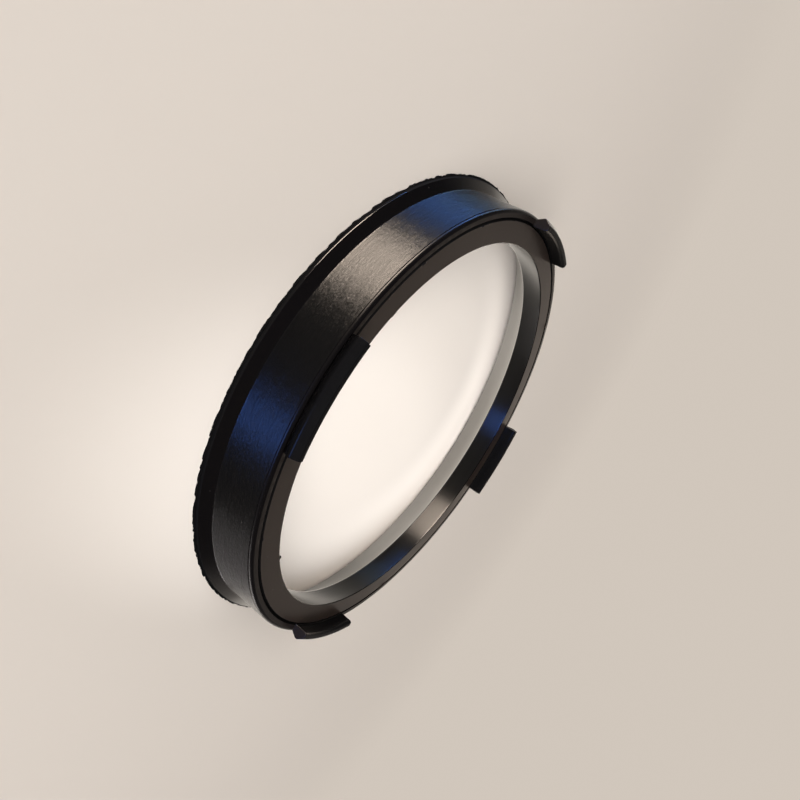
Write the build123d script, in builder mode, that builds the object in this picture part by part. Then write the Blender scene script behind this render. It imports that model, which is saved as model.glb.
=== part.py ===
from build123d import *
import os

# Hub centric ring, one moulded piece.
# It lies on its back face at Z = 0, its axis is Z, and its snap tabs point up.

# Fit sizes, in millimetres: the seat goes into the wheel, the bore over the hub
seat_diameter = 73.1
wall_thickness = 4.85

# Body heights above the back face
face_height = 8.7
bore_land_length = 3.55

# Flared lip at the back
lip_overhang = 1.85
lip_rim_thickness = 0.3
lip_cone_height = 1.3
back_land_width = 1.0

# Small edges and the parting groove on the front face
seat_edge_radius = 0.4
bore_edge_chamfer = 0.15
groove_setback = 1.4
groove_width = 0.3
groove_depth = 0.2

# Snap tabs: rises from the front face, setbacks and overhang from the seat
tab_count = 4
tab_width_angle = 23.8
tab_root_depth = 0.5
tab_neck_setback = 0.25
tab_neck_rise = 0.15
tab_barb_overhang = 0.35
tab_barb_rise = 1.3
tab_tip_outer_setback = 0.45
tab_tip_rise = 2.4
tab_tip_inner_bevel = 0.25
tab_tip_inner_drop = 0.35
tab_barb_rounding = 0.35
tab_tip_chamfer = 0.12
tab_end_rounding = 0.15

# Radii that follow from the sizes
seat_radius = seat_diameter / 2
bore_radius = seat_radius - wall_thickness
lip_radius = seat_radius + lip_overhang
lead_in_radius = lip_radius - back_land_width
groove_radius = seat_radius - groove_setback
tab_inner_radius = groove_radius
tab_neck_radius = seat_radius - tab_neck_setback
tab_barb_radius = seat_radius + tab_barb_overhang
tab_tip_outer_radius = seat_radius - tab_tip_outer_setback
tab_tip_inner_radius = tab_inner_radius + tab_tip_inner_bevel

# Heights that follow from the sizes
bore_start_height = face_height - bore_land_length
lip_root_height = lip_rim_thickness + lip_cone_height
tab_root_height = face_height - tab_root_depth
tab_neck_height = face_height + tab_neck_rise
tab_barb_height = face_height + tab_barb_rise
tab_tip_height = face_height + tab_tip_rise
tab_tip_inner_height = tab_tip_height - tab_tip_inner_drop

# One snap tab, swept round the axis from its own section
with BuildPart() as tab:
    with BuildSketch(Plane.XZ) as tab_section:
        with BuildLine() as tab_outline:
            Polyline(
                (tab_inner_radius, tab_root_height),
                (tab_neck_radius, tab_root_height),
                (tab_neck_radius, tab_neck_height),
                (tab_barb_radius, tab_barb_height),
                (tab_tip_outer_radius, tab_tip_height),
                (tab_tip_inner_radius, tab_tip_height),
                (tab_inner_radius, tab_tip_inner_height),
                close=True,
            )
        make_face()
        barb_corner = tab_section.vertices().sort_by(Axis.X)[-1]
        fillet(barb_corner, radius=tab_barb_rounding)
        tip_corners = tab_section.vertices().group_by(Axis.Y)[-1]
        chamfer(tip_corners, length=tab_tip_chamfer)
    revolve(axis=Axis.Z, revolution_arc=tab_width_angle)
    end_edges = [
        edge
        for face in tab.faces().filter_by(GeomType.PLANE)
        if abs(face.normal_at().Z) < 0.01
        for edge in face.edges()
        if edge.center().Z > tab_neck_height
    ]
    fillet(end_edges, radius=tab_end_rounding)

# The ring: body, flared lip, bore and lead-in from one section
with BuildPart() as hub_ring:
    with BuildSketch(Plane.XZ) as ring_section:
        with BuildLine() as ring_outline:
            Polyline(
                (lead_in_radius, 0),
                (lip_radius, 0),
                (lip_radius, lip_rim_thickness),
                (seat_radius, lip_root_height),
                (seat_radius, face_height),
                (bore_radius, face_height),
                (bore_radius, bore_start_height),
                close=True,
            )
        make_face()
    revolve(axis=Axis.Z)

    front_edges = hub_ring.edges().filter_by(GeomType.CIRCLE).group_by(Axis.Z)[-1].sort_by(SortBy.RADIUS)
    bore_front_edge = front_edges[0]
    seat_front_edge = front_edges[-1]
    fillet(seat_front_edge, radius=seat_edge_radius)
    chamfer(bore_front_edge, length=bore_edge_chamfer)

    # Fine parting groove round the front face
    with BuildSketch(Plane.XZ) as groove_section:
        with BuildLine() as groove_outline:
            Polyline(
                (groove_radius - groove_width / 2, face_height),
                (groove_radius, face_height - groove_depth),
                (groove_radius + groove_width / 2, face_height),
                close=True,
            )
        make_face()
    revolve(axis=Axis.Z, mode=Mode.SUBTRACT)

    # Four snap tabs, the first one centred on the X axis
    with PolarLocations(0, tab_count, start_angle=-tab_width_angle / 2):
        add(tab.part)

hub_ring.part.label = "hub_ring"

os.makedirs("parts", exist_ok=True)
export_step(hub_ring.part, "parts/hub_ring.step")
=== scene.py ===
"""Hub centric ring: one moulded plastic ring with a flared lip, a lead-in bore and four snap tabs."""

import math
import random

import bmesh
import bpy
from bpy.props import FloatProperty, FloatVectorProperty, IntProperty, PointerProperty
from bpy.types import Operator, Panel, PropertyGroup
from mathutils import Matrix, Vector, noise


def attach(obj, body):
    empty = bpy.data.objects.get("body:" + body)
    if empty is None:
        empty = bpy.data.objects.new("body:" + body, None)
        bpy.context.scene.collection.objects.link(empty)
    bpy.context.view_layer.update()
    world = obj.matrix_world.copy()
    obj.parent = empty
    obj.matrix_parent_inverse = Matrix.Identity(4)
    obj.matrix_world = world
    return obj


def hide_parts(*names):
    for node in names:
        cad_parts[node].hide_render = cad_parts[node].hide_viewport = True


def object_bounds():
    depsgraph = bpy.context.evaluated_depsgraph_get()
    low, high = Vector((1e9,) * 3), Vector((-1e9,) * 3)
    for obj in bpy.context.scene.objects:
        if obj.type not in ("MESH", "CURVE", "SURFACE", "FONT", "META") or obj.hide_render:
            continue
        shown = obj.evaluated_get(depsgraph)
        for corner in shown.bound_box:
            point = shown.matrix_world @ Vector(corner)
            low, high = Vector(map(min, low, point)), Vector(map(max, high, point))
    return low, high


bl_info = {
    "name": "Hub Centric Ring",
    "version": (1, 0, 0),
    "blender": (4, 5, 0),
    "location": "View3D > Sidebar > Hub Ring",
    "description": "Models a moulded hub centric ring with snap tabs and its studio stage",
    "category": "Object",
}

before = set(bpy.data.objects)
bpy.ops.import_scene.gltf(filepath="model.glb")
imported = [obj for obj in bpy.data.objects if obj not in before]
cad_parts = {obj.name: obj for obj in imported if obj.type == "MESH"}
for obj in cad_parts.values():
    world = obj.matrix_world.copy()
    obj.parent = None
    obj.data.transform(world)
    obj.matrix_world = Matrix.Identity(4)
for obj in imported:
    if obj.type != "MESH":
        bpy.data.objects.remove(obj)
cad_low, cad_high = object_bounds()

MM = 0.001
TURN = 2 * math.pi
RING_STEPS = 1080
STEP_ANGLE = 360 / RING_STEPS
NEAR = 0.004 * MM

# Parting groove: shares of its width and depth where the walls meet the floor, and the flat beside it
GROOVE_FLOOR = 0.2
GROOVE_WALL = 0.8
GROOVE_SHOULDER = 0.12 * MM

# Larger chips in the lip's rim: angle of the steep side, width of the slope in degrees, depth in millimetres
RIM_CHIPS = (
    (-19.0, 2.4, 0.16), (-22.3, 2.2, 0.28), (-24.4, 1.6, 0.18), (-28.6, 3.0, 0.13),
    (-33.9, 4.2, 0.32), (-36.6, 1.8, 0.20), (-44.0, 4.4, 0.30), (-49.2, 2.4, 0.16),
    (-52.6, 2.4, 0.22), (-55.4, 1.4, 0.20), (-61.0, 2.0, 0.15), (17.4, 2.2, 0.18),
    (21.3, 1.6, 0.20), (29.5, 2.4, 0.26), (38.4, 2.6, 0.22), (46.2, 2.0, 0.16),
    (53.7, 2.0, 0.26), (60.5, 2.0, 0.14), (96.0, 2.4, 0.22), (131.0, 2.0, 0.18),
    (163.0, 3.0, 0.26), (204.0, 2.2, 0.20), (247.0, 2.6, 0.22), (278.0, 2.0, 0.18),
)
SMALL_NICKS = 220

# Arc of the rim whose edge is still sharp enough to shine, in degrees
SHARP_RIM = (-43.0, -15.0)

# Burrs along the parting groove: angle round the ring, half width in steps, height in millimetres
GROOVE_BURRS = (
    (-32.2, 2, 0.14), (-52.0, 1, 0.18), (-54.1, 1, 0.14),
    (33.0, 1, 0.10), (122.0, 2, 0.12), (231.0, 1, 0.14),
)

# Burrs that lean in over the bore's front edge: angle, half width in steps, reach in millimetres
BORE_BURRS = ((43.8, 1, 0.26), (-22.0, 2, 0.08))


def length(label, about, default):
    """A size of the ring, in metres."""
    return FloatProperty(name=label, description=about, default=default, unit="LENGTH", precision=5)


def colour(label, about, default):
    """A finish colour, in linear light."""
    return FloatVectorProperty(
        name=label, description=about, default=default, subtype="COLOR", size=3, min=0.0, max=1.0
    )


def level(label, about, default):
    """A level of light."""
    return FloatProperty(name=label, description=about, default=default, min=0.0)


class HubRingSizes(PropertyGroup):
    lip_radius: length("Lip radius", "Outer radius of the flared lip", cad_high.x)
    rim_thickness: length("Rim thickness", "Height of the lip's plain rim", 0.30 * MM)
    lip_root: length("Lip root height", "Height where the lip's cone meets the seat", 1.60 * MM)
    flash_height: length("Flash height", "Thickness of the ragged flash at the rim", 0.22 * MM)
    flash_width: length("Flash width", "Reach of the ragged flash past the lip's cone", 0.36 * MM)
    lead_in_radius: length("Lead-in radius", "Radius of the lead-in at the back", 37.40 * MM)
    seat_radius: length("Seat radius", "Radius of the outer seat", 36.55 * MM)
    seat_edge: length("Seat edge radius", "Rounding of the seat's front edge", 0.55 * MM)
    face_height: length("Face height", "Height of the front face above the back", 8.70 * MM)
    groove_radius: length("Groove radius", "Radius of the parting groove's middle", 35.15 * MM)
    groove_width: length("Groove width", "Width of the parting groove", 0.46 * MM)
    groove_depth: length("Groove depth", "Depth of the parting groove", 0.40 * MM)
    bore_radius: length("Bore radius", "Radius of the hub bore", 31.70 * MM)
    bore_start: length("Bore start height", "Height where the bore meets the lead-in", 5.15 * MM)
    tab_neck: length("Tab neck height", "Height of the tab's neck", 8.85 * MM)
    tab_neck_radius: length("Tab neck radius", "Outer radius of the tab's neck", 36.30 * MM)
    tab_barb: length("Tab barb height", "Height of the barb's crest", 10.00 * MM)
    tab_barb_radius: length("Tab barb radius", "Outer radius of the barb's crest", 36.90 * MM)
    tab_tip: length("Tab tip height", "Height of the tab's tip", cad_high.z)
    tab_tip_radius: length("Tab tip radius", "Outer radius of the tab's tip", 36.10 * MM)
    tab_bevel: length("Tab bevel", "Setback of the bevel inside the tab's tip", 0.25 * MM)
    tab_bevel_drop: length("Tab bevel drop", "Height of the bevel inside the tab's tip", 0.35 * MM)
    tab_count: IntProperty(name="Tabs", description="Number of snap tabs", default=4, min=1, max=12)
    tab_half_steps: IntProperty(
        name="Tab half width", description="Half a tab's width, in steps round the ring", default=36, min=4
    )


class HubRingFinish(PropertyGroup):
    seat: colour("Seat", "Black of the satin seat", (0.0032, 0.0030, 0.0032))
    face: colour("Front face", "Brown black of the matt front face", (0.0200, 0.0142, 0.0115))
    strip: colour("Front strip", "Black of the strip outside the groove", (0.0100, 0.0075, 0.0065))
    lip: colour("Lip", "Black of the lip and the seat's edge", (0.0035, 0.0030, 0.0032))
    rim: colour("Rim and groove", "Dull black of the rough rim and the groove", (0.0020, 0.0018, 0.0018))
    bore: colour("Bore", "Black of the bore", (0.0016, 0.0014, 0.0014))
    # The lead-in's grey is a painted reflection of the pale floor, lighter than the ring's other blacks.
    lead_in: colour("Lead-in", "Grey black of the cut lead-in", (0.060, 0.053, 0.046))
    tabs: colour("Tabs", "Deep black of the snap tabs", (0.0036, 0.0034, 0.0038))


class HubRingStage(PropertyGroup):
    floor: colour("Floor", "Pale colour of the floor", (0.590, 0.535, 0.482))
    # Painted light: the paler colour of a pool of light painted on the floor's middle and under the ring's
    # lead-in.
    painted_pool_colour: colour("Floor middle", "Paler colour of the floor's middle", (0.98, 0.905, 0.83))
    backdrop: colour("Backdrop", "Pale colour of the backdrop", (0.635, 0.568, 0.50))
    # Painted reflection: colour and levels of the glow that stands in for the floor in reflections, with
    # painted bright bands under the lead-in and beside the lip.
    painted_reflection_colour: colour("Mirrored floor", "Colour of the floor in reflections", (1.0, 0.92, 0.82))
    painted_reflection_base: level("Mirrored floor level", "Level of the floor in reflections", 0.045)
    painted_reflection_inside: level("Mirrored share inside", "Share of the pale ring's level inside the bore", 0.03)
    painted_reflection_under_ring: level("Mirrored level under the ring", "Added level below the lead-in", 0.82)
    painted_reflection_beside_ring: level("Mirrored level beside the ring", "Added level outside the lip", 1.65)
    world: colour("World", "Dim surround above the backdrop", (0.015, 0.014, 0.015))
    key_glow: level("Key glow", "Radiance of the soft key lamp", 9.9)
    fill_glow: level("Fill glow", "Radiance of the overhead fill", 0.75)


def deselect_everything():
    if bpy.context.mode != "OBJECT":
        bpy.ops.object.mode_set(mode="OBJECT")
    bpy.ops.object.select_all(action="DESELECT")


def radius_of(place):
    return math.hypot(place.x, place.y)


def angle_of(place):
    return math.degrees(math.atan2(place.y, place.x))


def in_arc(place, angle, half_steps):
    """True within some steps of an angle round the ring."""
    return abs((angle_of(place) - angle + 180) % 360 - 180) < (half_steps + 0.25) * STEP_ANGLE


def place_of(item):
    """Middle of a vertex, edge or face."""
    if isinstance(item, bmesh.types.BMVert):
        return item.co
    if isinstance(item, bmesh.types.BMEdge):
        return (item.verts[0].co + item.verts[1].co) / 2
    return item.calc_center_median()


def choose(kind, test):
    """Selects only the vertices, edges or faces of the edited mesh that pass the test."""
    bpy.ops.mesh.select_mode(type=kind)
    bpy.ops.mesh.select_all(action="DESELECT")
    mesh = bpy.context.edit_object.data
    work = bmesh.from_edit_mesh(mesh)
    items = {"VERT": work.verts, "EDGE": work.edges, "FACE": work.faces}[kind]
    chosen = [item for item in items if test(item)]
    if not chosen:
        raise RuntimeError("nothing to select for this step")
    for item in chosen:
        item.select_set(True)
    work.select_flush_mode()
    bmesh.update_edit_mesh(mesh)


def start_outline(name, radius, height):
    """A new mesh that is one vertex in the XZ plane, in edit mode."""
    deselect_everything()
    bpy.ops.mesh.primitive_plane_add(size=MM, location=(0, 0, 0))
    piece = bpy.context.active_object
    piece.name = name
    piece.data.name = name
    bpy.ops.object.mode_set(mode="EDIT")
    bpy.ops.mesh.select_mode(type="VERT")
    bpy.ops.mesh.select_all(action="SELECT")
    bpy.ops.mesh.merge(type="CENTER")
    bpy.ops.mesh.select_all(action="SELECT")
    bpy.ops.transform.translate(value=(radius, 0, height))
    return piece


def draw_outline(points):
    """Extrudes the selected vertex from point to point."""
    for start, end in zip(points, points[1:]):
        step = (end[0] - start[0], 0, end[1] - start[1])
        bpy.ops.mesh.extrude_region_move(TRANSFORM_OT_translate={"value": step})


def round_corner(radius, height, amount, segments):
    """Rounds one corner of the outline before it is spun."""
    def at_corner(vertex):
        return abs(vertex.co.x - radius) < NEAR and abs(vertex.co.z - height) < NEAR

    choose("VERT", at_corner)
    bpy.ops.mesh.bevel(offset=amount, segments=segments, affect="VERTICES", clamp_overlap=False)


def spin_outline(steps):
    """Spins the outline once round the axis and closes the seam."""
    bpy.ops.mesh.select_mode(type="VERT")
    bpy.ops.mesh.select_all(action="SELECT")
    bpy.ops.mesh.spin(steps=steps, angle=TURN, center=(0, 0, 0), axis=(0, 0, 1), use_auto_merge=True)
    bpy.ops.mesh.select_all(action="SELECT")
    bpy.ops.mesh.remove_doubles(threshold=MM / 1000)
    bpy.ops.mesh.normals_make_consistent(inside=False)


def cone_start(sizes):
    """Radius and height where the lip's cone ends above the flash."""
    share = sizes.flash_width / (sizes.lip_radius - sizes.seat_radius)
    height = sizes.rim_thickness + (sizes.lip_root - sizes.rim_thickness) * share
    return sizes.lip_radius - sizes.flash_width, height


def ring_section(sizes):
    """Corner points of the ring's section, from the lead-in's back edge round to the bore."""
    land_rows = (0.5 * MM, 0.2 * MM)
    bore_row = 0.4 * MM
    lip = sizes.lip_radius
    flash = sizes.flash_height
    wall, cone_height = cone_start(sizes)
    face = sizes.face_height
    groove = sizes.groove_radius
    half_groove = sizes.groove_width / 2
    floor_half = sizes.groove_width * GROOVE_FLOOR
    floor_height = face - sizes.groove_depth * GROOVE_WALL
    points = [(sizes.lead_in_radius, 0.0)]
    points += [(lip - row, 0.0) for row in land_rows]
    points += [(lip, 0.0), (lip, flash / 2), (lip, flash)]
    points += [((lip + wall) / 2, flash), (wall, flash), (wall, cone_height)]
    points += [(sizes.seat_radius, sizes.lip_root), (sizes.seat_radius, face)]
    points += [(groove + half_groove + GROOVE_SHOULDER, face), (groove + half_groove, face)]
    points += [(groove + floor_half, floor_height), (groove, face - sizes.groove_depth)]
    points += [(groove - floor_half, floor_height), (groove - half_groove, face)]
    points += [(groove - half_groove - GROOVE_SHOULDER, face), (sizes.bore_radius, face)]
    points += [(sizes.bore_radius, face - bore_row), (sizes.bore_radius, sizes.bore_start)]
    return points


def spin_ring(sizes):
    """The ring's body as one spun section with its small edge rounds."""
    points = ring_section(sizes)
    ring = start_outline("hub_ring_moulding", *points[0])
    draw_outline(points)
    ends = (points[0], points[-1])

    def at_an_end(vertex):
        return any(abs(vertex.co.x - end[0]) < NEAR and abs(vertex.co.z - end[1]) < NEAR for end in ends)

    choose("VERT", at_an_end)
    bpy.ops.mesh.edge_face_add()
    round_corner(sizes.lip_radius, sizes.flash_height, 0.04 * MM, 2)
    round_corner(*cone_start(sizes), 0.10 * MM, 4)
    round_corner(sizes.seat_radius, sizes.lip_root, 0.12 * MM, 3)
    round_corner(sizes.seat_radius, sizes.face_height, sizes.seat_edge, 8)
    round_corner(sizes.bore_radius, sizes.face_height, 0.15 * MM, 4)
    round_corner(sizes.bore_radius, sizes.bore_start, 0.12 * MM, 3)
    round_corner(sizes.lead_in_radius, 0.0, 0.08 * MM, 2)
    spin_outline(RING_STEPS)
    return ring


def tab_turn(sizes, place):
    """Turn from the middle of the nearest tab, in degrees."""
    pitch = 360 / sizes.tab_count
    return abs((angle_of(place) + pitch / 2) % pitch - pitch / 2)


def extrude_up(rise):
    bpy.ops.mesh.extrude_region_move(TRANSFORM_OT_translate={"value": (0, 0, rise)})


def raise_tabs(sizes):
    """Extrudes the four snap tabs out of the front face, level by level."""
    half_width = sizes.tab_half_steps * STEP_ANGLE
    inside = half_width - STEP_ANGLE / 4
    reach = half_width + STEP_ANGLE / 4
    inner = sizes.groove_radius
    face_edge = sizes.seat_radius - sizes.seat_edge
    groove_low = sizes.face_height - sizes.groove_depth - NEAR

    def tab_root(face):
        place = place_of(face)
        radius = radius_of(place)
        if place.z < groove_low or not inner < radius < face_edge:
            return False
        return tab_turn(sizes, place) < inside

    choose("FACE", tab_root)
    extrude_up(sizes.tab_neck - sizes.face_height)
    bpy.ops.transform.resize(value=(1, 1, 0), center_override=(0, 0, sizes.tab_neck))

    groove_edge = inner + sizes.groove_width / 2
    rows = [inner, inner + sizes.groove_width * GROOVE_FLOOR, groove_edge]
    rows += [groove_edge + GROOVE_SHOULDER, face_edge]
    inner_bevel_height = sizes.tab_tip - sizes.tab_bevel_drop
    slope = (sizes.tab_barb_radius - sizes.tab_tip_radius) / (sizes.tab_tip - sizes.tab_barb)
    shoulder_radius = sizes.tab_barb_radius - slope * (inner_bevel_height - sizes.tab_barb)

    def spread(low, high):
        count = len(rows) - 1
        return [low + (high - low) * number / count for number in range(len(rows))]

    def set_rows(height, old, new):
        for before, after in zip(old, new):
            if abs(after - before) < NEAR:
                continue

            def in_row(vertex, row=before):
                if abs(vertex.co.z - height) > NEAR:
                    return False
                return abs(radius_of(vertex.co) - row) < NEAR and tab_turn(sizes, vertex.co) < reach

            choose("VERT", in_row)
            factor = after / before
            bpy.ops.transform.resize(value=(factor, factor, 1), center_override=(0, 0, 0))

    neck_rows = rows[:-1] + [sizes.tab_neck_radius]
    set_rows(sizes.tab_neck, rows, neck_rows)
    levels = (
        (sizes.tab_barb, spread(inner, sizes.tab_barb_radius)),
        (inner_bevel_height, spread(inner, shoulder_radius)),
        (sizes.tab_tip, spread(inner + sizes.tab_bevel, sizes.tab_tip_radius)),
    )
    below = sizes.tab_neck
    current = neck_rows
    for height, wanted in levels:
        def tab_top(face, top=below):
            return abs(place_of(face).z - top) < NEAR and abs(face.normal.z) > 0.9

        choose("FACE", tab_top)
        extrude_up(height - below)
        set_rows(height, current, wanted)
        current = wanted
        below = height


def round_tabs(sizes):
    """Rounds the barb's crest, the tips and the end edges of the tabs."""
    crest_round = 0.28 * MM
    end_round = 0.19 * MM

    def on_crest(edge):
        for vertex in edge.verts:
            if abs(vertex.co.z - sizes.tab_barb) > NEAR:
                return False
            if abs(radius_of(vertex.co) - sizes.tab_barb_radius) > NEAR:
                return False
        return True

    choose("EDGE", on_crest)
    bpy.ops.mesh.bevel(offset=crest_round, segments=5, affect="EDGES", clamp_overlap=True)

    tip_rings = (
        (sizes.tab_tip, sizes.tab_tip_radius),
        (sizes.tab_tip, sizes.groove_radius + sizes.tab_bevel),
        (sizes.tab_tip - sizes.tab_bevel_drop, sizes.groove_radius),
    )

    def faces_round(face):
        """True for the flat end of a tab, which faces round the ring."""
        place = place_of(face)
        along = Vector((-place.y, place.x, 0)).normalized()
        return abs(face.normal.dot(along)) > 0.9

    def on_tip_or_end(edge):
        place = place_of(edge)
        if place.z < sizes.tab_neck - NEAR:
            return False
        for height, radius in tip_rings:
            on_ring = [
                abs(vertex.co.z - height) < NEAR and abs(radius_of(vertex.co) - radius) < NEAR
                for vertex in edge.verts
            ]
            if all(on_ring):
                return True
        ends = [faces_round(face) for face in edge.link_faces]
        return len(ends) == 2 and ends[0] != ends[1]

    choose("EDGE", on_tip_or_end)
    bpy.ops.mesh.bevel(offset=end_round, segments=4, affect="EDGES", clamp_overlap=True)


def raise_burrs(sizes):
    """Small burrs on the parting groove's inner edge and over the bore's front edge."""
    lip_of_groove = sizes.groove_radius - sizes.groove_width / 2
    burr_root = 0.05 * MM
    bore_edge_width = 0.10 * MM
    bore_edge_height = 0.16 * MM

    def on_groove(place):
        off_edge = abs(radius_of(place) - lip_of_groove)
        return off_edge <= burr_root and abs(place.z - sizes.face_height) <= NEAR

    def on_bore(place):
        low = sizes.face_height - bore_edge_height
        return radius_of(place) <= sizes.bore_radius + bore_edge_width and place.z >= low

    for angle, half_steps, height in GROOVE_BURRS:
        choose("VERT", lambda vertex: on_groove(vertex.co) and in_arc(vertex.co, angle, half_steps))
        bpy.ops.transform.translate(value=(0, 0, height * MM))
    for angle, half_steps, reach in BORE_BURRS:
        choose("VERT", lambda vertex: on_bore(vertex.co) and in_arc(vertex.co, angle, half_steps))
        factor = 1 - reach * MM / sizes.bore_radius
        bpy.ops.transform.resize(value=(factor, factor, 1), center_override=(0, 0, 0))


def group_vertices(piece, name, weigh):
    """A vertex group that takes each vertex's weight from a function."""
    group = piece.vertex_groups.new(name=name)
    count = 0
    for vertex in piece.data.vertices:
        weight = weigh(vertex)
        if weight > 0:
            group.add([vertex.index], min(weight, 1.0), "REPLACE")
            count += 1
    if not count:
        raise RuntimeError("no vertices for the group " + name)


def displace(piece, name, amount, pattern):
    """Moves the vertices of a group along their normals by a pattern, and applies it."""
    bpy.ops.object.modifier_add(type="DISPLACE")
    modifier = piece.modifiers[-1]
    modifier.name = name
    modifier.strength = amount
    modifier.vertex_group = name
    modifier.texture = pattern
    bpy.ops.object.modifier_apply(modifier=name)


def cloud_pattern(name, grain):
    pattern = bpy.data.textures.new(name, "CLOUDS")
    pattern.noise_scale = grain
    pattern.noise_depth = 2
    return pattern


def pull_in(piece, name, radius):
    """Draws the vertices of a group straight in towards a cylinder, by their weights, and applies it."""
    bpy.ops.object.modifier_add(type="CAST")
    modifier = piece.modifiers[-1]
    modifier.name = name
    modifier.cast_type = "CYLINDER"
    modifier.use_z = False
    modifier.use_radius_as_size = False
    modifier.radius = 0.0
    modifier.size = radius
    modifier.factor = 1.0
    modifier.vertex_group = name
    bpy.ops.object.modifier_apply(modifier=name)


def rim_chips():
    """The listed chips and a seeded scatter of small nicks round the lip's rim."""
    scatter = random.Random(11)
    chips = list(RIM_CHIPS)
    for _ in range(SMALL_NICKS):
        angle = scatter.uniform(-180, 180)
        chips.append((angle, scatter.uniform(0.6, 1.7), scatter.uniform(0.06, 0.20)))
    return chips


def chip_depth(here, chips):
    """Depth of the rim's wear at an angle: each chip is steep on one side and slopes out on the other."""
    depth = 0.0
    for angle, width, deepest in chips:
        past = (here - angle + 180) % 360 - 180
        if -STEP_ANGLE < past < width:
            share = 1 - past / width if past > 0 else 1 + past / STEP_ANGLE
            depth = max(depth, share * deepest)
    return depth


def roughen_edges(piece, sizes):
    """Rough, chipped lip rim, and a parting groove that wanders a little."""
    chips = rim_chips()
    grain = 0.30 * MM
    roughness = 0.12
    deepest = 0.31
    core = sizes.lip_radius - 1.0 * MM
    wall = sizes.lip_radius - sizes.flash_width

    def on_rim(vertex):
        place = vertex.co
        radius = radius_of(place)
        if place.z > sizes.flash_height + NEAR or radius < wall + NEAR:
            return 0.0
        rough = roughness * (0.5 + 0.5 * noise.noise(place / grain))
        depth = min(chip_depth(angle_of(place), chips) + max(rough, 0.0), deepest)
        return depth * MM * (radius - wall) / sizes.flash_width / (radius - core)

    def on_groove(vertex):
        off_middle = abs(radius_of(vertex.co) - sizes.groove_radius)
        near_groove = off_middle < sizes.groove_width * 0.6
        return 1.0 if near_groove and vertex.co.z < sizes.face_height + NEAR else 0.0

    group_vertices(piece, "rim_wear", on_rim)
    group_vertices(piece, "groove_wander", on_groove)
    pull_in(piece, "rim_wear", core)
    displace(piece, "groove_wander", 0.12 * MM, cloud_pattern("groove_wander", 0.34 * MM))


def finish_surface(piece):
    """Smooth shading that keeps the flats flat."""
    smooth_below = math.radians(38)
    deselect_everything()
    piece.select_set(True)
    bpy.context.view_layer.objects.active = piece
    bpy.ops.object.shade_smooth_by_angle(angle=smooth_below)
    bpy.ops.object.modifier_add(type="WEIGHTED_NORMAL")
    weighted = piece.modifiers[-1]
    weighted.keep_sharp = True
    bpy.ops.object.modifier_apply(modifier=weighted.name)


def check_closed(piece):
    """Stops the script if the moulding has an open or doubled edge."""
    work = bmesh.new()
    work.from_mesh(piece.data)
    open_edges = [edge for edge in work.edges if len(edge.link_faces) != 2]
    work.free()
    if open_edges:
        raise RuntimeError(f"{piece.name} has {len(open_edges)} open edges")


# Shader node groups

def add_node(tree, kind, place, **settings):
    """A shader node of a kind, such as Math or Mix, with its settings."""
    node = tree.nodes.new("ShaderNode" + kind)
    node.location = place
    for name, value in settings.items():
        setattr(node, name, value)
    return node


def new_group(name, inputs, outputs):
    """An empty node group with its named sockets."""
    tree = bpy.data.node_groups.new(name, "ShaderNodeTree")
    for label, kind, default in inputs:
        socket = tree.interface.new_socket(name=label, in_out="INPUT", socket_type=kind)
        if default is not None:
            socket.default_value = default
    for label, kind in outputs:
        tree.interface.new_socket(name=label, in_out="OUTPUT", socket_type=kind)
    start = tree.nodes.new("NodeGroupInput")
    start.location = (-800, 0)
    end = tree.nodes.new("NodeGroupOutput")
    end.location = (600, 0)
    return tree, start, end


def add_noise(tree, place, detail, roughness):
    noise_node = add_node(tree, "TexNoise", place)
    noise_node.inputs["Detail"].default_value = detail
    noise_node.inputs["Roughness"].default_value = roughness
    return noise_node


def make_grain_group():
    """Fine moulding grain: a soft mottle and a sharper height."""
    tree, start, end = new_group(
        "Moulding grain",
        [
            ("Vector", "NodeSocketVector", None),
            ("Grain Scale", "NodeSocketFloat", 7000.0),
            ("Mottle Scale", "NodeSocketFloat", 400.0),
        ],
        [("Height", "NodeSocketFloat"), ("Mottle", "NodeSocketFloat")],
    )
    grain = add_noise(tree, (-400, 150), 3.0, 0.6)
    mottle = add_noise(tree, (-400, -150), 4.0, 0.6)
    link = tree.links.new
    link(start.outputs["Vector"], grain.inputs["Vector"])
    link(start.outputs["Grain Scale"], grain.inputs["Scale"])
    link(start.outputs["Vector"], mottle.inputs["Vector"])
    link(start.outputs["Mottle Scale"], mottle.inputs["Scale"])
    link(grain.outputs["Fac"], end.inputs["Height"])
    link(mottle.outputs["Fac"], end.inputs["Mottle"])
    return tree


def make_turning_group():
    """Fine lines that run round the ring: quick along the axis, slow round it."""
    tree, start, end = new_group(
        "Turning lines",
        [
            ("Vector", "NodeSocketVector", None),
            ("Stretch", "NodeSocketVector", (60.0, 60.0, 5000.0)),
        ],
        [("Height", "NodeSocketFloat")],
    )
    stretch = add_node(tree, "VectorMath", (-500, 0), operation="MULTIPLY")
    lines = add_noise(tree, (-250, 0), 3.0, 0.65)
    lines.inputs["Scale"].default_value = 1.0
    link = tree.links.new
    link(start.outputs["Vector"], stretch.inputs[0])
    link(start.outputs["Stretch"], stretch.inputs[1])
    link(stretch.outputs["Vector"], lines.inputs["Vector"])
    link(lines.outputs["Fac"], end.inputs["Height"])
    return tree


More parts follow.
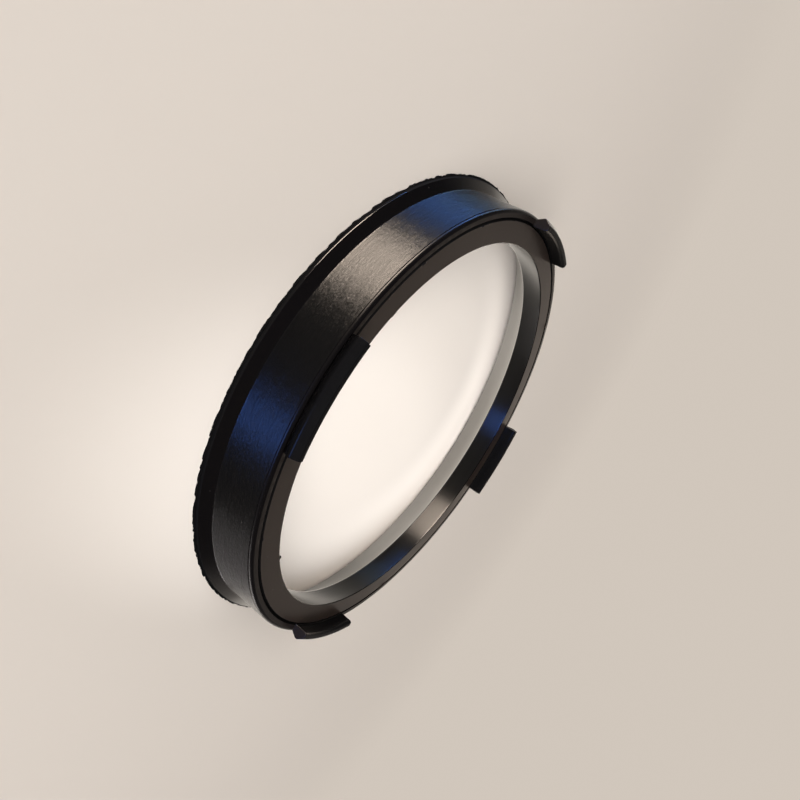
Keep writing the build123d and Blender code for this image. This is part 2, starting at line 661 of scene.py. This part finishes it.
def make_dust_group():
    """Sparse small specks of dust."""
    tree, start, end = new_group(
        "Handling dust",
        [
            ("Vector", "NodeSocketVector", None),
            ("Scale", "NodeSocketFloat", 900.0),
            ("Speck Size", "NodeSocketFloat", 0.10),
        ],
        [("Mask", "NodeSocketFloat")],
    )
    cells = add_node(tree, "TexVoronoi", (-500, 0))
    near = add_node(tree, "Math", (-250, 0), operation="LESS_THAN")
    pick = add_noise(tree, (-500, -300), 1.0, 0.5)
    patches = add_node(tree, "Math", (-250, -300), operation="GREATER_THAN")
    patches.inputs[1].default_value = 0.56
    both = add_node(tree, "Math", (0, 0), operation="MULTIPLY")
    slower = add_node(tree, "Math", (-650, -300), operation="MULTIPLY")
    slower.inputs[1].default_value = 0.5
    link = tree.links.new
    link(start.outputs["Vector"], cells.inputs["Vector"])
    link(start.outputs["Scale"], cells.inputs["Scale"])
    link(cells.outputs["Distance"], near.inputs[0])
    link(start.outputs["Speck Size"], near.inputs[1])
    link(start.outputs["Vector"], pick.inputs["Vector"])
    link(start.outputs["Scale"], slower.inputs[0])
    link(slower.outputs["Value"], pick.inputs["Scale"])
    link(pick.outputs["Fac"], patches.inputs[0])
    link(near.outputs["Value"], both.inputs[0])
    link(patches.outputs["Value"], both.inputs[1])
    link(both.outputs["Value"], end.inputs["Mask"])
    return tree


def group_once(name, make):
    found = bpy.data.node_groups.get(name)
    return found if found else make()


def start_material(name):
    """A material with a plain Principled shader, and its object coordinates."""
    material = bpy.data.materials.new(name)
    material.use_nodes = True
    tree = material.node_tree
    tree.nodes.clear()
    output = add_node(tree, "OutputMaterial", (700, 0))
    shader = add_node(tree, "BsdfPrincipled", (400, 0))
    tree.links.new(shader.outputs["BSDF"], output.inputs["Surface"])
    coordinates = add_node(tree, "TexCoord", (-1000, 0))
    return material, tree, shader, coordinates.outputs["Object"]


def place_group(tree, group, place, vector, **values):
    node = add_node(tree, "Group", place, node_tree=group)
    tree.links.new(vector, node.inputs["Vector"])
    for name, value in values.items():
        node.inputs[name.replace("_", " ")].default_value = value
    return node


def tint(tree, shader, base, lighter, factor):
    """Base colour that moves from one black to a lighter one with the factor."""
    mix = add_node(tree, "Mix", (100, 300), data_type="RGBA")
    mix.inputs["A"].default_value = (*base, 1.0)
    mix.inputs["B"].default_value = (*lighter, 1.0)
    tree.links.new(factor, mix.inputs["Factor"])
    tree.links.new(mix.outputs["Result"], shader.inputs["Base Color"])


def ease(tree, value, low, high, start, end, place, kind="SMOOTHSTEP"):
    """A step from one level to another between two values, soft unless its kind says otherwise."""
    step = add_node(tree, "MapRange", place, interpolation_type=kind)
    step.inputs["From Min"].default_value = low
    step.inputs["From Max"].default_value = high
    step.inputs["To Min"].default_value = start
    step.inputs["To Max"].default_value = end
    tree.links.new(value, step.inputs["Value"])
    return step.outputs["Result"]


def vary_roughness(tree, shader, factor, low, high):
    spread = ease(tree, factor, 0.3, 0.7, low, high, (-100, 150), "LINEAR")
    tree.links.new(spread, shader.inputs["Roughness"])


def add_bump(tree, shader, height, distance):
    bump = add_node(tree, "Bump", (100, -300))
    bump.inputs["Distance"].default_value = distance
    tree.links.new(height, bump.inputs["Height"])
    tree.links.new(bump.outputs["Normal"], shader.inputs["Normal"])


def set_shine(shader, gloss, rough):
    """Even gloss and roughness."""
    shader.inputs["Specular IOR Level"].default_value = gloss
    shader.inputs["Roughness"].default_value = rough


def spread_along_axis(tree, shader, amount):
    """Gloss that fine lines round the ring spread along its axis."""
    tangent = add_node(tree, "Tangent", (100, -600), direction_type="RADIAL", axis="Z")
    tree.links.new(tangent.outputs["Tangent"], shader.inputs["Tangent"])
    shader.inputs["Anisotropic"].default_value = amount
    shader.inputs["Anisotropic Rotation"].default_value = 0.25


def lighter_black(base, share):
    return tuple(value + share for value in base)


def add_grain(tree, place, grain, mottle):
    group = group_once("Moulding grain", make_grain_group)
    return place_group(tree, group, (-700, 200), place, Grain_Scale=grain, Mottle_Scale=mottle)


def add_lines(tree, place, stretch):
    group = group_once("Turning lines", make_turning_group)
    return place_group(tree, group, (-700, -100), place, Stretch=stretch)


def add_dust(tree, place, scale, size):
    group = group_once("Handling dust", make_dust_group)
    return place_group(tree, group, (-700, -350), place, Scale=scale, Speck_Size=size)


def add_share(tree, first, share, second, place=(-400, 0)):
    """A share of the first value on top of the second."""
    together = add_node(tree, "Math", place, operation="MULTIPLY_ADD")
    together.inputs[1].default_value = share
    tree.links.new(first, together.inputs[0])
    tree.links.new(second, together.inputs[2])
    return together.outputs["Value"]


def satin_seat_finish(finish):
    """The seat: satin, with fine lines round it that spread its gloss along the axis."""
    material, tree, shader, place = start_material("satin_seat")
    grain = add_grain(tree, place, 3000.0, 1000.0)
    lines = add_lines(tree, place, (260.0, 260.0, 3000.0))
    dust = add_dust(tree, place, 420.0, 0.045)
    rough = add_share(tree, grain.outputs["Mottle"], 1.0, grain.outputs["Height"])
    height = add_share(tree, lines.outputs["Height"], 3.4, rough)
    add_bump(tree, shader, height, 0.024 * MM)
    vary_roughness(tree, shader, grain.outputs["Height"], 0.33, 0.48)
    tint(tree, shader, finish.seat, (0.10, 0.095, 0.09), dust.outputs["Mask"])
    spread_along_axis(tree, shader, 0.985)
    shader.inputs["Specular IOR Level"].default_value = 0.36
    return material


def matt_finish(name, base, gloss, rough):
    """Matt moulded black with a fine grain and a little dust."""
    material, tree, shader, place = start_material(name)
    grain = add_grain(tree, place, 3600.0, 300.0)
    dust = add_dust(tree, place, 700.0, 0.06)
    add_bump(tree, shader, grain.outputs["Height"], 0.002 * MM)
    tint(tree, shader, base, lighter_black(base, 0.05), dust.outputs["Mask"])
    set_shine(shader, gloss, rough)
    return material


def smooth_finish(name, base, gloss, rough=0.17):
    """Deep black and smooth, with a few specks."""
    material, tree, shader, place = start_material(name)
    grain = add_grain(tree, place, 2500.0, 350.0)
    dust = add_dust(tree, place, 600.0, 0.05)
    add_bump(tree, shader, grain.outputs["Height"], 0.001 * MM)
    tint(tree, shader, base, (0.04, 0.037, 0.035), dust.outputs["Mask"])
    set_shine(shader, gloss, rough)
    return material


def dull_rim_finish(finish):
    """The chipped rim and the groove: dull black that takes no shine."""
    material, tree, shader, place = start_material("dull_rim")
    grain = add_grain(tree, place, 3000.0, 600.0)
    add_bump(tree, shader, grain.outputs["Height"], 0.03 * MM)
    vary_roughness(tree, shader, grain.outputs["Mottle"], 0.75, 0.90)
    tint(tree, shader, finish.rim, lighter_black(finish.rim, 0.003), grain.outputs["Mottle"])
    shader.inputs["Specular IOR Level"].default_value = 0.04
    return material


def smooth_bore_finish(finish):
    """The bore: smooth, with faint lines round it."""
    material, tree, shader, place = start_material("smooth_bore")
    grain = add_grain(tree, place, 2600.0, 260.0)
    lines = add_lines(tree, place, (50.0, 50.0, 3500.0))
    height = add_share(tree, grain.outputs["Height"], 0.5, lines.outputs["Height"])
    add_bump(tree, shader, height, 0.008 * MM)
    tint(tree, shader, finish.bore, lighter_black(finish.bore, 0.002), grain.outputs["Mottle"])
    spread_along_axis(tree, shader, 0.985)
    set_shine(shader, 0.31, 0.345)
    return material


def painted_lead_in_finish(finish):
    """The lead-in: cut smooth and a little uneven; its grey colour is a painted reflection of the pale floor
    below it.
    """
    material, tree, shader, place = start_material("painted_lead_in_reflection")
    grain = add_grain(tree, place, 2600.0, 240.0)
    tint(tree, shader, finish.lead_in, lighter_black(finish.lead_in, 0.03), grain.outputs["Mottle"])
    set_shine(shader, 0.5, 0.32)
    return material


def satin_tab_finish(finish):
    """The snap tabs: plain satin black."""
    material, tree, shader, place = start_material("satin_tabs")
    grain = add_grain(tree, place, 2600.0, 350.0)
    add_bump(tree, shader, grain.outputs["Height"], 0.006 * MM)
    tint(tree, shader, finish.tabs, lighter_black(finish.tabs, 0.002), grain.outputs["Mottle"])
    set_shine(shader, 0.035, 0.24)
    return material


def paint_zones(piece, sizes, finish):
    """Gives each zone of the moulding its own finish."""
    finishes = {
        "seat": satin_seat_finish(finish),
        "face": matt_finish("matt_face", finish.face, 0.21, 0.295),
        "strip": matt_finish("matt_strip", finish.strip, 0.16, 0.40),
        "lip": smooth_finish("black_lip", finish.lip, 0.07),
        "edge": smooth_finish("black_edge", finish.lip, 0.08, 0.27),
        "rim_edge": smooth_finish("rim_edge", finish.lip, 0.20),
        "rim": dull_rim_finish(finish),
        "bore": smooth_bore_finish(finish),
        "bore_edge": smooth_finish("bore_edge", finish.bore, 0.30),
        "lead_edge": smooth_finish("lead_edge", finish.bore, 0.5),
        "lead_in": painted_lead_in_finish(finish),
        "tabs": satin_tab_finish(finish),
    }
    numbers = {}
    for name, material in finishes.items():
        numbers[name] = len(piece.data.materials)
        piece.data.materials.append(material)
    for polygon in piece.data.polygons:
        polygon.material_index = numbers[zone_of(polygon, sizes)]


def zone_of(polygon, sizes):
    """The zone of the moulding that a face lies in."""
    skin = 0.02 * MM
    root_round = 0.12 * MM
    bore_round = 0.15 * MM
    place = polygon.center
    radius = radius_of(place)
    if place.z > sizes.face_height + skin and radius > sizes.groove_radius - NEAR:
        if tab_turn(sizes, place) < sizes.tab_half_steps * STEP_ANGLE + 0.1:
            along = Vector((-place.y, place.x, 0)).normalized()
            # Painted light: the tabs' end faces, which face round the ring, take the lighter and glossier
            # strip finish, a lit copy of the tab finish.
            return "strip" if abs(polygon.normal.dot(along)) > 0.8 else "tabs"
    if place.z < sizes.lip_root and radius > sizes.seat_radius - NEAR and polygon.normal.z > -0.5:
        return lip_zone(place, radius, sizes)
    if radius > sizes.seat_radius - skin and place.z < sizes.face_height - sizes.seat_edge:
        return "seat"
    if radius > sizes.seat_radius - sizes.seat_edge and place.z > sizes.bore_start:
        return "edge"
    if radius < sizes.bore_radius + bore_round and place.z > sizes.face_height - bore_round:
        return "bore_edge"
    near_start = abs(place.z - sizes.bore_start) < root_round + skin / 2
    if near_start and radius < sizes.bore_radius + root_round + skin / 2:
        return "lead_edge"
    groove_half = sizes.groove_width * 0.6
    in_groove = abs(radius - sizes.groove_radius) < groove_half
    if in_groove and sizes.bore_start < place.z < sizes.face_height - 0.03 * MM:
        return "rim"
    if polygon.normal.z > 0.3:
        return "strip" if radius > sizes.groove_radius + groove_half else "face"
    return "lead_in" if place.z < sizes.bore_start + skin else "bore"


def lip_zone(place, radius, sizes):
    """The zone of a face on the flared lip."""
    below_edge = 0.11 * MM
    above_edge = 0.06 * MM
    root_round = 0.12 * MM
    wall, edge_height = cone_start(sizes)
    if place.z < edge_height - below_edge or radius > wall + NEAR:
        return "rim"
    if place.z < edge_height + above_edge:
        return "rim_edge" if SHARP_RIM[0] < angle_of(place) < SHARP_RIM[1] else "rim"
    return "lip" if place.z < sizes.lip_root - root_round else "edge"


class HUBRING_OT_make_ring(Operator):
    """Models the ring's moulding: body, lip, lead-in, groove and snap tabs as one piece"""

    bl_idname = "hubring.make_ring"
    bl_label = "Make Ring"
    bl_options = {"REGISTER", "UNDO"}

    def execute(self, context):
        sizes = context.scene.hub_ring_sizes
        finish = context.scene.hub_ring_finish
        ring = spin_ring(sizes)
        raise_tabs(sizes)
        round_tabs(sizes)
        raise_burrs(sizes)
        bpy.ops.object.mode_set(mode="OBJECT")
        roughen_edges(ring, sizes)
        check_closed(ring)
        paint_zones(ring, sizes, finish)
        finish_surface(ring)
        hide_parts("hub_ring")
        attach(ring, "root")
        return {"FINISHED"}


def make_sweep(stage):
    """Round floor that curves up into a backdrop on every side."""
    floor_radius = 1.0
    bend_radius = 0.35
    wall_height = 1.5
    drop = -0.02 * MM
    points = [(0.0, drop), (0.08, drop), (0.2, drop), (0.5, drop), (floor_radius, drop)]
    bends = 10
    for number in range(1, bends + 1):
        turn = math.pi / 2 * number / bends
        rise = bend_radius * (1 - math.cos(turn))
        points.append((floor_radius + bend_radius * math.sin(turn), drop + rise))
    points.append((floor_radius + bend_radius, wall_height))
    sweep = start_outline("studio_sweep", *points[0])
    draw_outline(points)
    spin_outline(128)
    bpy.ops.mesh.normals_make_consistent(inside=True)
    bpy.ops.object.mode_set(mode="OBJECT")
    bpy.ops.object.shade_smooth()
    sweep.data.materials.append(sweep_finish(stage))


def combine(tree, operation, first, second, place):
    node = add_node(tree, "Math", place, operation=operation)
    tree.links.new(first, node.inputs[0])
    tree.links.new(second, node.inputs[1])
    return node.outputs["Value"]


def distance_from(tree, vector, centre, place):
    node = add_node(tree, "VectorMath", place, operation="DISTANCE")
    node.inputs[1].default_value = centre
    tree.links.new(vector, node.inputs[0])
    return node.outputs["Value"]


def blend_shaders(tree, factor, first, second, place):
    node = add_node(tree, "MixShader", place)
    tree.links.new(factor, node.inputs["Fac"])
    tree.links.new(first, node.inputs[1])
    tree.links.new(second, node.inputs[2])
    return node.outputs["Shader"]


def sweep_finish(stage):
    """Pale matt floor with a painted pool of light, which reflections see as a dim glow with painted bright
    bands by the ring, and a backdrop that is even to the camera and, in reflections, glows at painted levels
    that dim upwards.
    """
    material = bpy.data.materials.new("pale_floor")
    material.use_nodes = True
    tree = material.node_tree
    link = tree.links.new
    tree.nodes.clear()
    output = add_node(tree, "OutputMaterial", (900, 0))
    coordinates = add_node(tree, "TexCoord", (-900, 0))
    place = coordinates.outputs["Object"]
    middle = (0.0, 0.0, 0.0)
    reach = distance_from(tree, place, middle, (-650, 0))
    apart = add_node(tree, "SeparateXYZ", (-650, 300))
    link(place, apart.inputs["Vector"])
    path = add_node(tree, "LightPath", (-650, -300))
    seen = path.outputs["Is Camera Ray"]
    mirrored = path.outputs["Is Glossy Ray"]
    through = path.outputs["Is Transmission Ray"]

    floor = add_node(tree, "BsdfDiffuse", (200, 250))
    # Painted light: the floor's colour turns paler towards a painted pool of light off the ring's middle,
    # and paler still inside the ring and under the lead-in's overhang, where it takes the ring's own shade
    # off the floor.
    pool = add_node(tree, "Mapping", (-850, 900), vector_type="TEXTURE")
    pool.inputs["Location"].default_value = (8.0 * MM, 11.0 * MM, 0.0)
    pool.inputs["Scale"].default_value = (1.9, 1.0, 1.0)
    link(place, pool.inputs["Vector"])
    pool_reach = distance_from(tree, pool.outputs["Vector"], middle, (-650, 900))
    off_pool = ease(tree, pool_reach, 13.0 * MM, 30.0 * MM, 0.42, 1.0, (-400, 900))
    low_side = distance_from(tree, place, (0.0, -3.5 * MM, 0.0), (-650, 1100))
    inside = ease(tree, low_side, 22.0 * MM, 31.0 * MM, 0.55, 0.0, (-400, 1100))
    outside = ease(tree, reach, 36.0 * MM, 38.0 * MM, 0.0, 1.0, (-400, 1300))
    off_painted_lift = combine(tree, "MAXIMUM", inside, outside, (-200, 1100))
    unpainted_share = combine(tree, "MULTIPLY", off_pool, off_painted_lift, (-200, 900))
    pale = add_node(tree, "Mix", (0, 700), data_type="RGBA")
    pale.inputs["A"].default_value = (*stage.painted_pool_colour, 1.0)
    pale.inputs["B"].default_value = (*stage.floor, 1.0)
    link(unpainted_share, pale.inputs["Factor"])
    link(pale.outputs["Result"], floor.inputs["Color"])

    # Painted reflection: in reflections the floor is a glow, not a lit floor. It stays dim at a base level,
    # with a bright painted band under the lead-in and brighter painted patches beside the lip, which the
    # lead-in and the seat show as reflections.
    painted_reflection_glow = add_node(tree, "Emission", (200, 50))
    painted_reflection_glow.inputs["Color"].default_value = (*stage.painted_reflection_colour, 1.0)
    pale_from = ease(tree, reach, 28.5 * MM, 31.0 * MM, stage.painted_reflection_inside, 1.0, (-400, 100))
    pale_until = ease(tree, reach, 37.2 * MM, 38.0 * MM, stage.painted_reflection_under_ring, 0.0, (-400, -50))
    crest = ease(tree, reach, 32.0 * MM, 34.5 * MM, 4.6, 1.0, (-400, -200))
    crested = combine(tree, "MULTIPLY", pale_from, crest, (-300, 150))
    pale_band = combine(tree, "MULTIPLY", crested, pale_until, (-200, 50))
    paler_side = ease(tree, apart.outputs["X"], -34.0 * MM, -15.0 * MM, 2.0, 0.6, (-400, -450))
    banded = combine(tree, "MULTIPLY", pale_band, paler_side, (-100, -450))
    beyond = ease(tree, reach, 38.2 * MM, 39.0 * MM, 0.0, stage.painted_reflection_beside_ring, (-400, -600))
    sideways = add_node(tree, "Math", (-550, -750), operation="ABSOLUTE")
    link(apart.outputs["Y"], sideways.inputs[0])
    beside = ease(tree, sideways.outputs["Value"], 31.0 * MM, 33.0 * MM, 0.0, 1.0, (-400, -750))
    skewed = add_share(tree, apart.outputs["Y"], -0.09, apart.outputs["X"], (-550, -900))
    far_end = ease(tree, skewed, 2.7 * MM, 12.2 * MM, 1.0, 0.0, (-400, -900))
    one_end = ease(tree, apart.outputs["Y"], -10.0 * MM, 10.0 * MM, 0.78, 1.05, (-400, -1050))
    ends = combine(tree, "MULTIPLY", far_end, one_end, (-300, -900))
    corner = combine(tree, "MULTIPLY", beside, ends, (-200, -800))
    beside_ring = combine(tree, "MULTIPLY", beyond, corner, (-100, -650))
    under_ring = combine(tree, "ADD", banded, beside_ring, (0, -550))
    total = add_node(tree, "Math", (0, 50), operation="ADD")
    total.inputs[1].default_value = stage.painted_reflection_base
    link(under_ring, total.inputs[0])
    link(total.outputs["Value"], painted_reflection_glow.inputs["Strength"])

    # Painted reflection: the backdrop glows evenly for the camera, but in reflections it glows at painted
    # levels that dim upwards and are raised on its far side, for the front face's reflections.
    even = add_node(tree, "Emission", (200, -150))
    even.inputs["Color"].default_value = (*stage.backdrop, 1.0)
    height = apart.outputs["Z"]
    dims = ease(tree, height, 0.12, 0.55, 1.0, 0.03, (-400, 300))
    far_side = ease(tree, apart.outputs["X"], -1.20, -0.90, 0.55, 0.0, (-400, 500))
    high_dims = ease(tree, height, 0.85, 1.25, 1.0, 0.04, (-400, 700))
    painted_far_lift = combine(tree, "MULTIPLY", far_side, high_dims, (-200, 500))
    painted_backdrop_reflection = combine(tree, "MAXIMUM", dims, painted_far_lift, (0, 400))
    backdrop_level = combine(tree, "MAXIMUM", painted_backdrop_reflection, seen, (100, 400))
    link(backdrop_level, even.inputs["Strength"])

    either = combine(tree, "MAXIMUM", seen, mirrored, (-400, -300))
    shown = combine(tree, "MAXIMUM", either, through, (-200, -300))
    far = ease(tree, reach, 0.065, 0.19, 0.0, 1.0, (-400, -150))
    far_shown = combine(tree, "MULTIPLY", far, shown, (0, -200))
    # Glossy rays see the painted reflection glow in place of the lit floor.
    near = blend_shaders(tree, mirrored, floor.outputs["BSDF"], painted_reflection_glow.outputs["Emission"], (450, 150))
    whole = blend_shaders(tree, far_shown, near, even.outputs["Emission"], (650, 0))
    link(whole, output.inputs["Surface"])
    return material


def add_panel(name, azimuth, elevation, distance, width, tall, glow, shade, *, gloss_only):
    """A soft rectangular lamp that faces the ring, with its glow as radiance."""
    turn = math.radians(azimuth)
    rise = math.radians(elevation)
    flat = distance * math.cos(rise)
    place = Vector((flat * math.cos(turn), flat * math.sin(turn), distance * math.sin(rise)))
    deselect_everything()
    bpy.ops.object.light_add(type="AREA", location=place)
    lamp = bpy.context.active_object
    lamp.name = name
    lamp.data.name = name
    lamp.data.shape = "RECTANGLE"
    lamp.data.size = width
    lamp.data.size_y = tall
    lamp.data.energy = glow * math.pi * width * tall
    lamp.data.color = shade
    target = Vector((0, 0, 0.005))
    lamp.rotation_mode = "QUATERNION"
    lamp.rotation_quaternion = (target - place).to_track_quat("-Z", "Y")
    lamp.visible_camera = False
    lamp.visible_diffuse = not gloss_only
    lamp.visible_glossy = gloss_only


def make_lamps(stage):
    """Soft key and fill for the light, and low panels that only show as reflections."""
    white = (1.0, 1.0, 1.0)
    warm = (1.0, 0.83, 0.68)
    cool = (0.13, 0.34, 1.0)
    deep_cool = (0.10, 0.28, 1.0)
    teal = (0.30, 0.60, 1.0)
    grey = (1.0, 0.93, 0.92)
    reach = 0.35
    # Azimuth, elevation, distance, width, height, glow and shade
    lights = {
        "key_lamp": (2, 42, 0.8, 1.8, 0.25, stage.key_glow, white),
        "fill_lamp": (150, 85, 1.05, 0.9, 0.9, stage.fill_glow, white),
    }
    reflections = {
        "warm_panel": (-51, 8.0, reach, 0.178, 0.09, 119.0, warm),
        "cool_panel": (-91.2, 2.3, reach, 0.138, 0.0245, 64.0, cool),
        "bore_panel": (-107, 6.5, reach, 0.11, 0.03, 14.0, teal),
        "teal_panel": (-75, 2.3, reach, 0.06, 0.0245, 8.0, teal),
        "deep_cool_panel": (26.5, 8.0, reach, 0.082, 0.09, 38.0, deep_cool),
        "grey_panel": (93, 3.2, reach, 0.28, 0.034, 12.0, grey),
        "back_panel": (180, 5.0, 0.6, 0.44, 0.063, 3.0, warm),
    }
    for name, row in lights.items():
        add_panel(name, *row, gloss_only=False)
    for name, row in reflections.items():
        add_panel(name, *row, gloss_only=True)


def set_world(stage):
    """A dim, even surround."""
    world = bpy.data.worlds.new("dim_surround")
    world.use_nodes = True
    bpy.context.scene.world = world
    background = world.node_tree.nodes["Background"]
    background.inputs["Color"].default_value = (*stage.world, 1.0)


def set_camera():
    """The camera at the photograph's place, angle and roll."""
    place = Vector((0.09594, -0.00730, 0.04613))
    right = Vector((-0.38743, -0.50981, 0.7681))
    down = Vector((-0.17945, 0.85896, 0.4796))
    focal_pixels = 650.0
    frame_pixels = 800.0
    sensor = 36.0
    deselect_everything()
    bpy.ops.object.camera_add(location=place)
    camera = bpy.context.active_object
    camera.name = "photo_camera"
    side = right.normalized()
    up = (-down - side * (-down).dot(side)).normalized()
    back = side.cross(up)
    turn = Matrix((side, up, back)).transposed()
    camera.rotation_mode = "QUATERNION"
    camera.rotation_quaternion = turn.to_quaternion()
    camera.data.sensor_width = sensor
    camera.data.lens = sensor * focal_pixels / frame_pixels
    camera.data.clip_start = 0.001
    camera.data.clip_end = 10.0
    camera.data.dof.use_dof = False
    bpy.context.scene.camera = camera


class HUBRING_OT_build_stage(Operator):
    """Builds the pale sweep, the soft lamps, the surround and the camera"""

    bl_idname = "hubring.build_stage"
    bl_label = "Build Stage"
    bl_options = {"REGISTER", "UNDO"}

    def execute(self, context):
        stage = context.scene.hub_ring_stage
        make_sweep(stage)
        make_lamps(stage)
        set_world(stage)
        set_camera()
        context.scene.view_settings.view_transform = "Standard"
        return {"FINISHED"}


class HUBRING_PT_panel(Panel):
    """Sidebar panel that lists the ring's steps and sizes"""

    bl_idname = "HUBRING_PT_panel"
    bl_label = "Hub Centric Ring"
    bl_space_type = "VIEW_3D"
    bl_region_type = "UI"
    bl_category = "Hub Ring"

    def draw(self, context):
        layout = self.layout
        layout.operator(HUBRING_OT_make_ring.bl_idname)
        layout.operator(HUBRING_OT_build_stage.bl_idname)
        for label in ("Sizes", "Finish", "Stage"):
            group = getattr(context.scene, "hub_ring_" + label.lower())
            box = layout.box()
            box.label(text=label)
            for name in group.__annotations__:
                box.prop(group, name)


classes = (
    HubRingSizes,
    HubRingFinish,
    HubRingStage,
    HUBRING_OT_make_ring,
    HUBRING_OT_build_stage,
    HUBRING_PT_panel,
)


def register():
    for item in classes:
        bpy.utils.register_class(item)
    bpy.types.Scene.hub_ring_sizes = PointerProperty(type=HubRingSizes)
    bpy.types.Scene.hub_ring_finish = PointerProperty(type=HubRingFinish)
    bpy.types.Scene.hub_ring_stage = PointerProperty(type=HubRingStage)


def unregister():
    del bpy.types.Scene.hub_ring_stage
    del bpy.types.Scene.hub_ring_finish
    del bpy.types.Scene.hub_ring_sizes
    for item in reversed(classes):
        bpy.utils.unregister_class(item)


def main():
    register()
    bpy.ops.hubring.make_ring()
    bpy.ops.hubring.build_stage()


if __name__ == "__main__":
    main()
